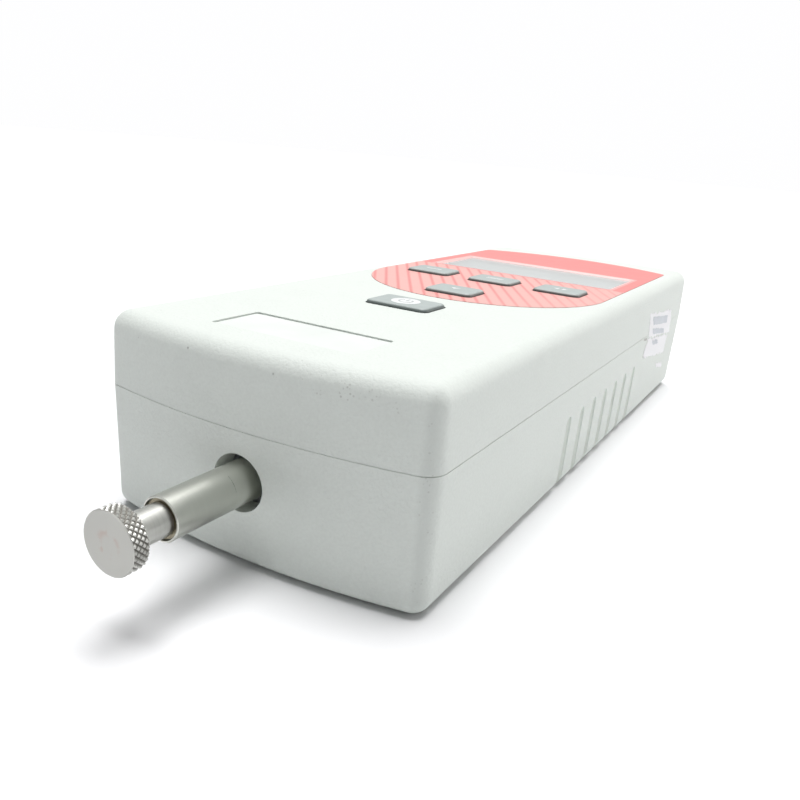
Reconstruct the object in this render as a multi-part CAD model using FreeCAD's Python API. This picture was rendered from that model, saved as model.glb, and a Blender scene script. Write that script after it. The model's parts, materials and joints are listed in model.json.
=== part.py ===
"""Hand-held digital force gauge with a knurled flat adapter on its load shaft.

Millimetres. The origin is the centre of the flat back, on which the gauge rests.
+Z runs up through the keypad, +Y towards the connector end, and the load shaft leaves along -Y.
"""

import FreeCAD
import Part
import math
import os

V = FreeCAD.Vector
X_AXIS = V(1, 0, 0)
Y_AXIS = V(0, 1, 0)
Z_AXIS = V(0, 0, 1)

# Case: two moulded shells that meet at a parting line
case_width = 74.0
case_length = 199.6
case_height = 41.4
parting_share = 26.5 / 41.4
parting_height = parting_share * case_height
end_bow = 4.1
corner_radius = 4.2
smallest_corner = 0.6
top_edge_radius = 3.9
bottom_edge_radius = 3.5
draft_lower = 0.6
draft_upper = 0.3
wall = 2.6
floor_thickness = 2.8
roof_thickness = 2.8
reveal = 0.2
tongue_thickness = 1.1
tongue_height = 1.8
tongue_gap = 0.15

# Grip grooves on both long sides of the rear shell
groove_count = 7
groove_pitch = 10.1
groove_width = 3.4
groove_depth = 1.3
groove_top = 18.8
groove_first_y = -26.6

# Screws: shank radius, head and recess
screw_radius = 1.5
screw_head_radius = 2.75
screw_head_height = 1.7
thread_gap = 0.05
shank_gap = 0.2
head_gap = 0.3
head_drop = 0.3
screw_seat = 0.8
cross_slot_width = 0.7
cross_slot_depth = 1.0

# Pillars that take the four case screws
pillar_radius = 3.6
pillar_overlap = 0.5
pillar_y = case_length / 2 - 14.5
case_screw_reach = 7.0

# Threaded inserts in the back, for a stand or a bracket
insert_spacing_x = 44.0
insert_front_gap = 11.35
insert_back_share = 0.3947
insert_radius = 3.6
insert_bore_radius = 2.1
insert_length = 8.0
insert_boss_wall = 1.8

# Graphic overlay on the front, with a full-round lower end
overlay_side_margin = 4.5
overlay_half_width = case_width / 2 - overlay_side_margin
overlay_far_y = 0.384 * case_length
overlay_far_bow = 9.4
overlay_round_y = 0.0155 * case_length
overlay_thickness = 0.45
overlay_recess = 0.35
overlay_gap = 0.1
overlay_corner = 2.0

# Display
window_side_margin = 4.5
window_width = 2 * (overlay_half_width - window_side_margin)
window_height = 27.2
window_y = 0.1945 * case_length
window_corner = 1.0
lens_margin = 2.0
lens_thickness = 1.2
lens_gap = 0.15
aperture_margin = 0.2
lcd_width = window_width + 4.0
lcd_depth = 35.6
lcd_height = 5.3
lcd_base = 2.0
lcd_rim = 1.2
glass_gap = 0.2
glass_drop = 0.3

# Keys: three in a row, one below them, and the power key below the overlay
key_side_margin = 3.4
key_pitch = (2 * overlay_half_width - 2 * key_side_margin) / 3
key_spacing = 6.5
key_width = key_pitch - key_spacing
key_depth = 10.1
key_corner = 1.6
key_rise = 0.95
key_row_y = 0.0366 * case_length
lower_key_y = -0.0912 * case_length
power_key_width = 15.7
power_key_depth = 10.7
power_key_y = -0.2177 * case_length
power_key_rise = 0.8
key_edge_radius = 0.8
key_gap = 0.3
key_travel = 0.7
key_stop_gap = 0.15
key_rest_gap = 0.25
flange_margin = 1.3
flange_thickness = 1.0
stem_radius = 2.5
dome_radius = 3.0
dome_height = 0.5
mat_thickness = 1.2
mat_margin = 5.0
mat_hole_gap = 0.8
collar_wall = 1.6

# Main board, hung from the front shell
board_side_gap = 3.4
board_width = case_width - 2 * (wall + board_side_gap)
board_front_y = power_key_y - 19.4
board_back_y = window_y + lcd_depth / 2 + 8.1
board_thickness = 1.6
board_boss_radius = 3.0
board_boss_inset = 4.5
board_screw_length = 5.0

# Name plate recess near the shaft end
plate_width = 31.9
plate_depth = 13.0
plate_far_y = -0.3805 * case_length
plate_recess = 0.6
plate_thickness = 0.3
plate_gap = 0.2

# Load shaft
shaft_share = 16.6 / 41.4
shaft_height = shaft_share * case_height
shaft_radius = 3.97
shaft_reach = 17.8
shaft_hole_radius = 5.55
hole_collar_wall = 1.8
hole_collar_depth = 2.6
shaft_rim_chamfer = 0.35
socket_radius = 3.62
socket_depth = 1.1
thread_radius = 2.35
thread_hole_length = 9.0
thread_clearance = 0.08
shaft_travel = 0.25
stop_gap = 0.3
collar_radius = 5.0
collar_length = 2.0
stud_radius = 2.4
stud_length = 6.0
shoulder_gap = 0.35

# Flat adapter, screwed into the load shaft on a ring washer
neck_radius = 2.92
neck_length = 7.4
neck_chamfer = 0.35
knob_radius = 5.42
knob_length = 3.1
knob_chamfer = 0.3
adapter_thread_length = 7.0
washer_radius = 3.45
washer_thickness = 0.6
washer_bore_gap = 0.1

# Chassis, overload stop and load cell
chassis_thickness = 3.0
chassis_half_width = 26.0
chassis_front_gap = 3.2
chassis_screw_inset = 4.0
upright_thickness = 4.0
upright_half_width = 14.0
stop_length = 7.0
stop_half_width = 11.0
stop_front_gap = 3.5
stop_side_gap = 0.8
stop_top_margin = 4.0
cell_half_width = 15.0
cell_length = 26.0
cell_floor_gap = 2.0
cell_bar = 6.5
cell_slot = 2.5
cell_web = 6.0
cell_hole_radius = 2.6
cell_screw_x = 8.0
cell_screw_length = 8.0
gauge_length = 6.0
gauge_width = 3.6
gauge_thickness = 0.2

# Battery pack
cell_count = 4
battery_side_room = 5.0
battery_length = 50.5
battery_gap = 0.2
battery_front_gap = 19.55
tray_wall = 1.4
tray_floor = 1.0
tray_side = 6.5
tab_thickness = 0.3
tab_width = 6.0
strap_width = 12.0
strap_thickness = 0.8
strap_gap = 0.1

# Connector end
panel_recess_half_width = 27.0
panel_recess_bottom = 6.0
panel_recess_top = parting_height - 4.2
panel_floor_y = case_length / 2 - 6.0
panel_thickness = 2.6
panel_recess_corner = 1.5
connector_x = -9.0
connector_height = (panel_recess_bottom + panel_recess_top) / 2
shell_width = 17.0
shell_height = 8.4
shell_corner = 1.6
shell_wall = 0.5
shell_reach = 5.6
shell_gap = 0.3
connector_flange_width = 31.0
connector_flange_height = 12.4
connector_flange_thickness = 0.8
connector_body_width = 19.0
connector_body_height = 10.0
connector_body_length = 8.0
insert_face_drop = 0.6
pin_hole_radius = 0.45
pin_hole_depth = 3.0
pin_pitch = 2.29
pin_row_pitch = 1.98
jackscrew_spacing = 25.0
jackscrew_hex = 5.0
jackscrew_length = 4.6
jackscrew_bore = 1.3
jackscrew_shank = 1.4
jack_x = 17.5
jack_barrel_radius = 4.0
jack_bore_radius = 2.85
jack_bore_depth = 9.0
jack_pin_radius = 1.0
jack_pin_drop = 1.0
jack_proud = 0.6
jack_body_width = 9.0
jack_body_height = 11.0
interface_half_width = case_width / 2 - 11.5
interface_top = panel_recess_top + 0.2
ribbon_width = 12.0
ribbon_thickness = 0.9
ribbon_x = 2.0

# Small parts on the main board
buzzer_radius = 6.0
buzzer_height = 5.5
buzzer_x = -18.0
buzzer_y = board_back_y - 12.0
socket_block = (8.0, 5.0, 3.0)
cell_socket_x = 8.0
cell_socket_y = board_front_y + 18.0
battery_socket_gap = 9.5
chip_sizes = ((12.0, 12.0, 1.5), (8.0, 5.0, 1.4), (10.0, 3.6, 3.2), (5.0, 5.0, 1.2))
chip_places = ((2.0, -2.0), (-14.0, -22.0), (16.0, 12.0), (18.0, -20.0))
lead_radius = 1.0

# Values worked out from the sizes above
half_width = case_width / 2
end_radius = (half_width**2 + end_bow**2) / (2 * end_bow)
end_centre_y = end_radius - case_length / 2
roof_under = case_height - roof_thickness
board_top = roof_under - lcd_height
board_under = board_top - board_thickness
front_face_y = -case_length / 2
front_inner_y = front_face_y + wall
chassis_top = floor_thickness + chassis_thickness
stop_front_y = front_inner_y + stop_front_gap
stop_back_y = stop_front_y + stop_length
shaft_front_y = front_face_y - shaft_reach
shaft_shoulder_y = stop_back_y + 3.0
cell_front_y = shaft_shoulder_y + shoulder_gap
cell_back_y = cell_front_y + cell_length
upright_back_y = cell_back_y + upright_thickness
cell_bottom = chassis_top + cell_floor_gap
cell_top = 2 * shaft_height - cell_bottom
cell_height = cell_top - cell_bottom
socket_floor_y = shaft_front_y + socket_depth
neck_back_y = socket_floor_y - washer_thickness
knob_back_y = neck_back_y - neck_length
knob_front_y = knob_back_y - knob_length
pillar_x = half_width - wall - pillar_radius + pillar_overlap
panel_inner_y = panel_floor_y - panel_thickness
interface_front_y = panel_inner_y - connector_flange_thickness - connector_body_length - board_thickness
jack_body_length = connector_flange_thickness + connector_body_length
case_head_z = screw_head_height + head_drop
chassis_head_z = floor_thickness - screw_seat
battery_pitch = (case_width - 2 * wall - 2 * battery_side_room) / cell_count
battery_radius = (battery_pitch - battery_gap) / 2
battery_half_width = battery_pitch * cell_count / 2
battery_first_x = battery_pitch / 2 - battery_half_width
battery_axis_z = floor_thickness + tray_floor + battery_radius
battery_front_y = upright_back_y + battery_front_gap
battery_back_y = battery_front_y + battery_length
battery_socket_y = battery_back_y + battery_socket_gap
insert_front_y = upright_back_y + insert_front_gap
insert_back_y = battery_back_y + insert_back_share * (interface_front_y - battery_back_y)
os.makedirs("parts", exist_ok=True)


def save(name, *solids):
    """Writes one sub-part, which may be several separate solids."""
    shape = solids[0] if len(solids) == 1 else Part.makeCompound(list(solids))
    shape.exportStep(f"parts/{name}.step")
    print(name, "solids", len(shape.Solids), "volume", round(shape.Volume, 1), "valid", shape.isValid())


def block(x0, x1, y0, y1, z0, z1):
    """A box between two corners."""
    return Part.makeBox(x1 - x0, y1 - y0, z1 - z0, V(x0, y0, z0))


def rod(radius, base, length, direction):
    """A round bar from base along direction."""
    return Part.makeCylinder(radius, length, base, direction)


def ring(outer, inner, base, length, direction):
    """A round tube."""
    return rod(outer, base, length, direction).cut(rod(inner, base, length, direction))


def fuse(first, *others):
    """One solid from several that meet, without the seams between them."""
    return first.fuse(list(others)).removeSplitter() if others else first


def cut(first, *tools):
    """A solid less the tools."""
    return first.cut(list(tools)).removeSplitter()


def rounded_block(cx, cy, width, depth, radius, z0, z1):
    """An upright plate or key with round corners in plan."""
    shape = block(cx - width / 2, cx + width / 2, cy - depth / 2, cy + depth / 2, z0, z1)
    upright = [e for e in shape.Edges if abs(e.Vertexes[0].Z - e.Vertexes[-1].Z) > (z1 - z0) / 2]
    return shape.makeFillet(radius, upright)


def edges_at(shape, z):
    """The edges of a shape that lie in the plane at height z."""
    return [e for e in shape.Edges if all(abs(v.Z - z) < 1e-4 for v in e.Vertexes) and abs(e.CenterOfMass.z - z) < 1e-4]


def outline(inset, z):
    """The case's plan at height z, moved inwards by inset: straight sides, bowed ends, round corners."""
    side = half_width - inset
    end = end_radius - inset
    corner = max(corner_radius - inset, smallest_corner)
    turn_x = side - corner
    turn_y = end_centre_y - math.sqrt((end - corner) ** 2 - turn_x**2)
    swing = math.atan2(turn_x, end_centre_y - turn_y)
    middle = (swing + math.pi / 2) / 2

    def on_corner(angle, sx, sy):
        return V(sx * (turn_x + corner * math.sin(angle)), sy * (-turn_y + corner * math.cos(angle)), z)

    def corner_arc(sx, sy, first, last):
        return Part.Arc(on_corner(first, sx, sy), on_corner(middle, sx, sy), on_corner(last, sx, sy)).toShape()

    quarter = math.pi / 2
    apex = end - end_centre_y
    edges = [
        Part.Arc(on_corner(swing, -1, -1), V(0, -apex, z), on_corner(swing, 1, -1)).toShape(),
        corner_arc(1, -1, swing, quarter),
        Part.LineSegment(on_corner(quarter, 1, -1), on_corner(quarter, 1, 1)).toShape(),
        corner_arc(1, 1, quarter, swing),
        Part.Arc(on_corner(swing, 1, 1), V(0, apex, z), on_corner(swing, -1, 1)).toShape(),
        corner_arc(-1, 1, swing, quarter),
        Part.LineSegment(on_corner(quarter, -1, 1), on_corner(quarter, -1, -1)).toShape(),
        corner_arc(-1, -1, quarter, swing),
    ]
    return Part.Wire(edges)


def drafted(low_inset, low_z, high_inset, high_z):
    """A closed solid between two plans of the case."""
    return Part.makeLoft([outline(low_inset, low_z), outline(high_inset, high_z)], True, True)


def straight(inset, z0, z1):
    """A solid with upright walls on one plan of the case."""
    return Part.Face(outline(inset, z0)).extrude(V(0, 0, z1 - z0))


def screw(x, y, head_z, length, direction):
    """A pan-head screw with a cross recess. The head's underside is at head_z, and the shank runs along direction."""
    up = V(0, 0, direction)
    head = rod(screw_head_radius, V(x, y, head_z) - up * screw_head_height, screw_head_height, up)
    rim = [e for e in head.Edges if abs(e.CenterOfMass.z - (head_z - direction * screw_head_height)) < 1e-6]
    head = head.makeFillet(screw_head_height * 0.4, rim)
    body = fuse(head, rod(screw_radius, V(x, y, head_z), length, up))
    top = head_z - direction * screw_head_height
    low, high = sorted((top, top + direction * cross_slot_depth))
    arm = screw_head_radius * 0.6
    half = cross_slot_width / 2
    return cut(
        body,
        block(x - arm, x + arm, y - half, y + half, low, high),
        block(x - half, x + half, y - arm, y + arm, low, high),
    )


def mirrored_places(x, y):
    """The four corners of a rectangle about the origin."""
    return [(sx * x, sy * y) for sx in (-1, 1) for sy in (-1, 1)]


def lead(points, radius):
    """A round lead along straight runs joined by tangent arcs, each as large as its two runs allow."""
    runs = [points[0]]
    edges = []
    for before, here, after in zip(points, points[1:], points[2:]):
        inward = (before - here).normalize()
        onward = (after - here).normalize()
        half_turn = (math.pi - inward.getAngle(onward)) / 2
        reach = 0.45 * min((before - here).Length, (after - here).Length)
        bend = reach / math.tan(half_turn)
        start = here + inward * reach
        finish = here + onward * reach
        bisector = (inward + onward).normalize()
        centre = here + bisector * (bend / math.cos(half_turn))
        crown = centre - bisector * bend
        print("lead bend radius", round(bend, 2))
        edges.append(Part.LineSegment(runs[-1], start).toShape())
        edges.append(Part.Arc(start, crown, finish).toShape())
        runs.append(finish)
    edges.append(Part.LineSegment(runs[-1], points[-1]).toShape())
    path = Part.Wire(edges)
    heading = (points[1] - points[0]).normalize()
    section = Part.Wire(Part.makeCircle(radius, points[0], heading))
    tube = path.makePipeShell([section], True, True)
    print("lead length", round(path.Length, 1), "volume ratio", round(tube.Volume / (path.Length * math.pi * radius**2), 3))
    return tube


def overlay_shape(grow, z0, z1):
    """The overlay's outline as a plate: straight sides, a bowed far edge and a full-round lower end."""
    side = overlay_half_width + grow
    far = overlay_far_y + grow
    corners = [V(side, overlay_round_y, z0), V(side, far, z0), V(-side, far, z0), V(-side, overlay_round_y, z0)]
    wire = Part.Wire(
        [
            Part.LineSegment(corners[0], corners[1]).toShape(),
            Part.Arc(corners[1], V(0, far + overlay_far_bow, z0), corners[2]).toShape(),
            Part.LineSegment(corners[2], corners[3]).toShape(),
            Part.Arc(corners[3], V(0, overlay_round_y - side, z0), corners[0]).toShape(),
        ]
    )
    plate = Part.Face(wire).extrude(V(0, 0, z1 - z0))
    far_corners = [e for e in plate.Edges if abs(e.CenterOfMass.y - far) < 1e-6 and abs(abs(e.CenterOfMass.x) - side) < 1e-6]
    return plate.makeFillet(overlay_corner, far_corners)


# Each key: node name, centre, width, depth and rise above the front
keys = [
    ("key_left", -key_pitch, key_row_y, key_width, key_depth, key_rise),
    ("key_middle", 0.0, key_row_y, key_width, key_depth, key_rise),
    ("key_right", key_pitch, key_row_y, key_width, key_depth, key_rise),
    ("key_lower", 0.0, lower_key_y, key_width, key_depth, key_rise),
    ("key_power", 0.0, power_key_y, power_key_width, power_key_depth, power_key_rise),
]
board_boss_places = [
    (sx * (board_width / 2 - board_boss_inset), y)
    for sx in (-1, 1)
    for y in (board_front_y + board_boss_inset, board_back_y - board_boss_inset)
]
pillar_places = mirrored_places(pillar_x, pillar_y)
insert_places = [(sx * insert_spacing_x / 2, y) for sx in (-1, 1) for y in (insert_front_y, insert_back_y)]
chassis_front_y = front_inner_y + chassis_front_gap
chassis_screw_places = [
    (sx * (chassis_half_width - chassis_screw_inset), y)
    for sx in (-1, 1)
    for y in (chassis_front_y + chassis_screw_inset, upright_back_y - chassis_screw_inset)
]


def window_block(margin, z0, z1):
    """A round-cornered block about the display window."""
    return rounded_block(0, window_y, window_width + 2 * margin, window_height + 2 * margin, window_corner, z0, z1)


def front_case():
    """The upper shell: keypad and display openings, overlay recess, name plate recess and bosses."""
    outer = drafted(0, parting_height, draft_upper, case_height)
    outer = outer.makeFillet(top_edge_radius, edges_at(outer, case_height))
    inner = drafted(wall, parting_height, wall + draft_upper, roof_under)
    shell = cut(outer, inner)
    shell = cut(shell, straight(-wall, parting_height - wall, parting_height + reveal))
    bosses = [rod(board_boss_radius, V(x, y, board_top), lcd_height, Z_AXIS) for x, y in board_boss_places]
    bosses += [rod(pillar_radius, V(x, y, parting_height), roof_under - parting_height, Z_AXIS) for x, y in pillar_places]
    hull = drafted(wall - pillar_overlap, parting_height, wall, case_height)
    shell = fuse(shell, *[boss.common(hull) for boss in bosses])
    tongue_top = parting_height + tongue_height
    track = straight(wall - tongue_thickness - tongue_gap, parting_height - 1, tongue_top)
    shell = cut(shell, cut(track, straight(wall + tongue_gap, parting_height - 2, tongue_top + 1)))
    recess_floor = case_height - overlay_recess
    tools = [overlay_shape(overlay_gap, recess_floor, case_height + 1)]
    tools.append(window_block(lens_margin + lens_gap, recess_floor - lens_thickness, case_height))
    tools.append(window_block(aperture_margin, roof_under - 1, case_height))
    for _, x, y, width, depth, _ in keys:
        opening = (width + 2 * key_gap, depth + 2 * key_gap, key_corner + key_gap)
        tools.append(rounded_block(x, y, *opening, roof_under - 1, case_height + 1))
    plate_y = plate_far_y - plate_depth / 2
    plate_size = (plate_width + 2 * plate_gap, plate_depth + 2 * plate_gap)
    tools.append(rounded_block(0, plate_y, *plate_size, smallest_corner, case_height - plate_recess, case_height + 1))
    pilot = screw_radius + thread_gap
    tools += [rod(pilot, V(x, y, board_top - 1), board_screw_length, Z_AXIS) for x, y in board_boss_places]
    tools += [rod(pilot, V(x, y, parting_height - 1), case_screw_reach + 2, Z_AXIS) for x, y in pillar_places]
    return cut(shell, *tools)


def grip_grooves():
    """The moulded grooves, open at the back's edge and round at the top."""
    mid_inset = draft_lower * (1 - groove_top / 2 / parting_height)
    floor_x = half_width - mid_inset - groove_depth
    half = groove_width / 2
    tools = []
    for n in range(groove_count):
        y = groove_first_y + n * groove_pitch
        for side in (-1, 1):
            x0, x1 = sorted((side * floor_x, side * (half_width + 1)))
            slot = block(x0, x1, y - half, y + half, -1, groove_top - half)
            tools.append(fuse(slot, rod(half, V(x0, y, groove_top - half), x1 - x0, X_AXIS)))
    return tools


def rear_case():
    """The lower shell: shaft hole, grip grooves, connector panel, pillars and screw recesses."""
    outer = drafted(draft_lower, 0, 0, parting_height)
    outer = outer.makeFillet(bottom_edge_radius, edges_at(outer, 0))
    inner = drafted(wall + draft_lower, floor_thickness, wall, parting_height)
    tongue = straight(wall - tongue_thickness, parting_height, parting_height + tongue_height)
    tongue = cut(tongue, straight(wall, parting_height - 1, parting_height + tongue_height + 1))
    shell = fuse(cut(outer, inner), tongue)
    hull = drafted(wall + draft_lower - pillar_overlap, 0, wall - pillar_overlap, parting_height)
    pillars = [rod(pillar_radius, V(x, y, 0), parting_height, Z_AXIS) for x, y in pillar_places]
    boss_radius = insert_radius + insert_boss_wall
    pillars += [rod(boss_radius, V(x, y, 0), insert_length + insert_boss_wall, Z_AXIS) for x, y in insert_places]
    panel_half = panel_recess_half_width + panel_thickness
    panel = block(-panel_half, panel_half, panel_inner_y, case_length / 2, 0, panel_recess_top + panel_thickness)
    collar_size = (shaft_hole_radius + hole_collar_wall, V(0, front_face_y, shaft_height), wall + hole_collar_depth)
    collar = rod(*collar_size, Y_AXIS)
    shell = fuse(shell, *[p.common(hull) for p in pillars + [panel, collar]])
    tools = grip_grooves()
    tools.append(rod(shaft_hole_radius, V(0, front_face_y - 1, shaft_height), wall + hole_collar_depth + 2, Y_AXIS))
    recess = block(
        -panel_recess_half_width, panel_recess_half_width, panel_floor_y, case_length, panel_recess_bottom, panel_recess_top
    )
    upright = [e for e in recess.Edges if abs(e.Vertexes[0].Y - e.Vertexes[-1].Y) > 1]
    tools.append(recess.makeFillet(panel_recess_corner, upright))
    tools.append(d_prism(shell_gap, panel_inner_y - 1, panel_floor_y + 1))
    tools.append(rod(jack_barrel_radius + shank_gap, V(jack_x, panel_inner_y - 1, connector_height), panel_thickness + 2, Y_AXIS))
    for x in jackscrew_places():
        tools.append(rod(jackscrew_shank + shank_gap, V(x, panel_inner_y - 1, connector_height), panel_thickness + 2, Y_AXIS))
    for x, y in pillar_places:
        tools.append(rod(screw_radius + shank_gap, V(x, y, -1), parting_height + 2, Z_AXIS))
        tools.append(rod(screw_head_radius + head_gap, V(x, y, -1), case_head_z + 1, Z_AXIS))
    for x, y in chassis_screw_places:
        tools.append(rod(screw_radius + shank_gap, V(x, y, -1), floor_thickness + 2, Z_AXIS))
        tools.append(rod(screw_head_radius + head_gap, V(x, y, -1), chassis_head_z + 1, Z_AXIS))
    tools += [rod(insert_radius, V(x, y, -1), insert_length + 1, Z_AXIS) for x, y in insert_places]
    return cut(shell, *tools)


def jackscrew_places():
    """The two hex posts beside the data connector."""
    return [connector_x - jackscrew_spacing / 2, connector_x + jackscrew_spacing / 2]


def d_prism(grow, y0, y1):
    """The D-shaped section of the data connector, along Y."""
    half = shell_width / 2 + grow
    tall = shell_height / 2 + grow
    slant = tall * 2 * math.tan(math.radians(10))
    corners = [
        V(connector_x - half, y0, connector_height + tall),
        V(connector_x + half, y0, connector_height + tall),
        V(connector_x + half - slant, y0, connector_height - tall),
        V(connector_x - half + slant, y0, connector_height - tall),
    ]
    prism = Part.Face(Part.makePolygon(corners + corners[:1])).extrude(V(0, y1 - y0, 0))
    along = [e for e in prism.Edges if abs(e.Vertexes[0].Y - e.Vertexes[-1].Y) > 0.1]
    return prism.makeFillet(shell_corner + grow, along)


def keypad_overlay():
    """The thin graphic sheet, with openings for the window and four keys."""
    low = case_height - overlay_recess
    tools = [window_block(0, low - 1, case_height + 1)]
    for name, x, y, width, depth, _ in keys:
        if name != "key_power":
            opening = (width + 2 * key_gap, depth + 2 * key_gap, key_corner + key_gap)
            tools.append(rounded_block(x, y, *opening, low - 1, case_height + 1))
    return cut(overlay_shape(0, low, low + overlay_thickness), *tools)


def display_window():
    """The clear lens under the overlay."""
    high = case_height - overlay_recess
    return window_block(lens_margin, high - lens_thickness, high)


def name_plate():
    """The bare plate in its recess near the shaft end."""
    low = case_height - plate_recess
    plate_y = plate_far_y - plate_depth / 2
    return rounded_block(0, plate_y, plate_width, plate_depth, smallest_corner, low, low + plate_thickness)


def key_cap(x, y, width, depth, rise):
    """One key: cap through the front, retaining flange and stem over its contact."""
    flange_top = roof_under - key_rest_gap
    flange_bottom = flange_top - flange_thickness
    stem_bottom = board_top + dome_height + key_travel + key_stop_gap
    cap = rounded_block(x, y, width, depth, key_corner, flange_bottom, case_height + rise)
    cap = cap.makeFillet(key_edge_radius, edges_at(cap, case_height + rise))
    flange_size = (width + 2 * flange_margin, depth + 2 * flange_margin, key_corner)
    flange = rounded_block(x, y, *flange_size, flange_bottom, flange_top)
    return fuse(cap, flange, rod(stem_radius, V(x, y, stem_bottom), flange_bottom - stem_bottom, Z_AXIS))


def keypad_mat():
    """The rubber mat on the board: a sheet with a stop collar round each stem."""
    flange_bottom = roof_under - key_rest_gap - flange_thickness
    collar_top = flange_bottom - key_travel - key_stop_gap
    back = key_row_y + key_depth / 2 + mat_margin
    front = power_key_y - power_key_depth / 2 - mat_margin / 2
    side = key_pitch + key_width / 2 + mat_margin / 2
    sheet = block(-side, side, front, back, board_top, board_top + mat_thickness)
    hole = stem_radius + mat_hole_gap
    collars = [rod(hole + collar_wall, V(x, y, board_top), collar_top - board_top, Z_AXIS) for _, x, y, _, _, _ in keys]
    holes = [rod(hole, V(x, y, board_top - 1), collar_top - board_top + 2, Z_AXIS) for _, x, y, _, _, _ in keys]
    return cut(fuse(sheet, *collars), *holes)


def dome_contacts():
    """The snap contacts under the stems."""
    return [Part.makeCone(dome_radius, dome_radius * 0.7, dome_height, V(x, y, board_top)) for _, x, y, _, _, _ in keys]


def lcd_frame():
    """The display module's moulded frame."""
    body = block(-lcd_width / 2, lcd_width / 2, window_y - lcd_depth / 2, window_y + lcd_depth / 2, board_top, roof_under)
    x = lcd_width / 2 - lcd_rim
    y = lcd_depth / 2 - lcd_rim
    return cut(body, block(-x, x, window_y - y, window_y + y, board_top + lcd_base, roof_under + 1))


def lcd_glass():
    """The display glass, seated in the frame."""
    x = lcd_width / 2 - lcd_rim - glass_gap
    y = lcd_depth / 2 - lcd_rim - glass_gap
    return block(-x, x, window_y - y, window_y + y, board_top + lcd_base, roof_under - glass_drop)


def main_board():
    """The printed board that carries the keypad and display."""
    board = block(-board_width / 2, board_width / 2, board_front_y, board_back_y, board_under, board_top)
    reach = screw_radius + shank_gap
    return cut(board, *[rod(reach, V(x, y, board_under - 1), board_thickness + 2, Z_AXIS) for x, y in board_boss_places])


def socket_at(x, y):
    """A small plug-in socket under the main board."""
    width, depth, height = socket_block
    return block(x - width / 2, x + width / 2, y - depth / 2, y + depth / 2, board_under - height, board_under)


def board_components():
    """Chips under the board, and the two sockets that the leads plug into."""
    chips = []
    for (width, depth, height), (x, y) in zip(chip_sizes, chip_places):
        chips.append(block(x - width / 2, x + width / 2, y - depth / 2, y + depth / 2, board_under - height, board_under))
    return chips + [socket_at(cell_socket_x, cell_socket_y), socket_at(battery_first_x, battery_socket_y)]


def buzzer():
    """The sounder under the board."""
    body = rod(buzzer_radius, V(buzzer_x, buzzer_y, board_under - buzzer_height), buzzer_height, Z_AXIS)
    return cut(body, rod(dome_radius / 3, V(buzzer_x, buzzer_y, board_under - buzzer_height - 1), 2, Z_AXIS))


def chassis_plate():
    """The metal plate on the floor, with the upright that holds the load cell."""
    plate = block(-chassis_half_width, chassis_half_width, chassis_front_y, upright_back_y, floor_thickness, chassis_top)
    upright = block(-upright_half_width, upright_half_width, cell_back_y, upright_back_y, chassis_top, cell_top)
    tools = [rod(screw_radius + thread_gap, V(x, y, floor_thickness - 1), chassis_thickness + 2, Z_AXIS) for x, y in chassis_screw_places]
    for side in (-1, 1):
        tools.append(rod(screw_radius + shank_gap, V(side * cell_screw_x, cell_back_y - 1, shaft_height), upright_thickness + 2, Y_AXIS))
    return cut(fuse(plate, upright), *tools)


def overload_stop():
    """The slotted block that the shaft's collar runs in, so that the cell can't be bent too far."""
    top = shaft_height + collar_radius + stop_top_margin
    body = block(-stop_half_width, stop_half_width, stop_front_y, stop_back_y, chassis_top, top)
    gate = shaft_radius + stop_side_gap
    pocket = collar_radius + stop_side_gap
    middle = (stop_front_y + stop_back_y) / 2
    reach = collar_length / 2 + shaft_travel + stop_gap
    tools = [
        rod(gate, V(0, stop_front_y - 1, shaft_height), stop_length + 2, Y_AXIS),
        block(-gate, gate, stop_front_y - 1, stop_back_y + 1, shaft_height, top + 1),
        rod(pocket, V(0, middle - reach, shaft_height), 2 * reach, Y_AXIS),
        block(-pocket, pocket, middle - reach, middle + reach, shaft_height, top + 1),
    ]
    return cut(body, *tools)


def load_cell():
    """The S-shaped sensing block. Its front bar takes the shaft's stud and its back bar is bolted to the upright."""
    half = cell_half_width
    body = block(-half, half, cell_front_y, cell_back_y, cell_bottom, cell_top)
    slot_a = cell_front_y + cell_bar
    slot_b = cell_back_y - cell_bar - cell_slot
    middle = (cell_front_y + cell_back_y) / 2
    tools = [
        block(-half - 1, half - cell_web, slot_a, slot_a + cell_slot, cell_bottom - 1, cell_top + 1),
        block(-half + cell_web, half + 1, slot_b, slot_b + cell_slot, cell_bottom - 1, cell_top + 1),
        rod(cell_hole_radius, V(0, middle, cell_bottom - 1), cell_height + 2, Z_AXIS),
        rod(stud_radius + thread_clearance, V(0, cell_front_y - 1, shaft_height), cell_bar + cell_slot / 2 + 1, Y_AXIS),
    ]
    for side in (-1, 1):
        start = V(side * cell_screw_x, cell_back_y - cell_bar, shaft_height)
        tools.append(rod(screw_radius + thread_gap, start, cell_bar + 1, Y_AXIS))
    return cut(body, *tools)


def load_cell_screws():
    """Two screws through the upright into the cell's back bar."""
    found = []
    for side in (-1, 1):
        x = side * cell_screw_x
        head = rod(screw_head_radius, V(x, upright_back_y, shaft_height), screw_head_height, Y_AXIS)
        shank = rod(screw_radius, V(x, upright_back_y - cell_screw_length, shaft_height), cell_screw_length, Y_AXIS)
        hexagon = rod(screw_radius * 0.8, V(x, upright_back_y + screw_head_height / 2, shaft_height), screw_head_height, Y_AXIS)
        found.append(cut(fuse(head, shank), hexagon))
    return found


def strain_gauges():
    """Four foil gauges, two on the cell's top and two on its bottom."""
    middle = (cell_front_y + cell_back_y) / 2
    found = []
    for side in (-1, 1):
        x = side * (cell_hole_radius + gauge_width)
        for z in (cell_top, cell_bottom - gauge_thickness):
            x0, x1 = x - gauge_width / 2, x + gauge_width / 2
            found.append(block(x0, x1, middle - gauge_length / 2, middle + gauge_length / 2, z, z + gauge_thickness))
    return found


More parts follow.
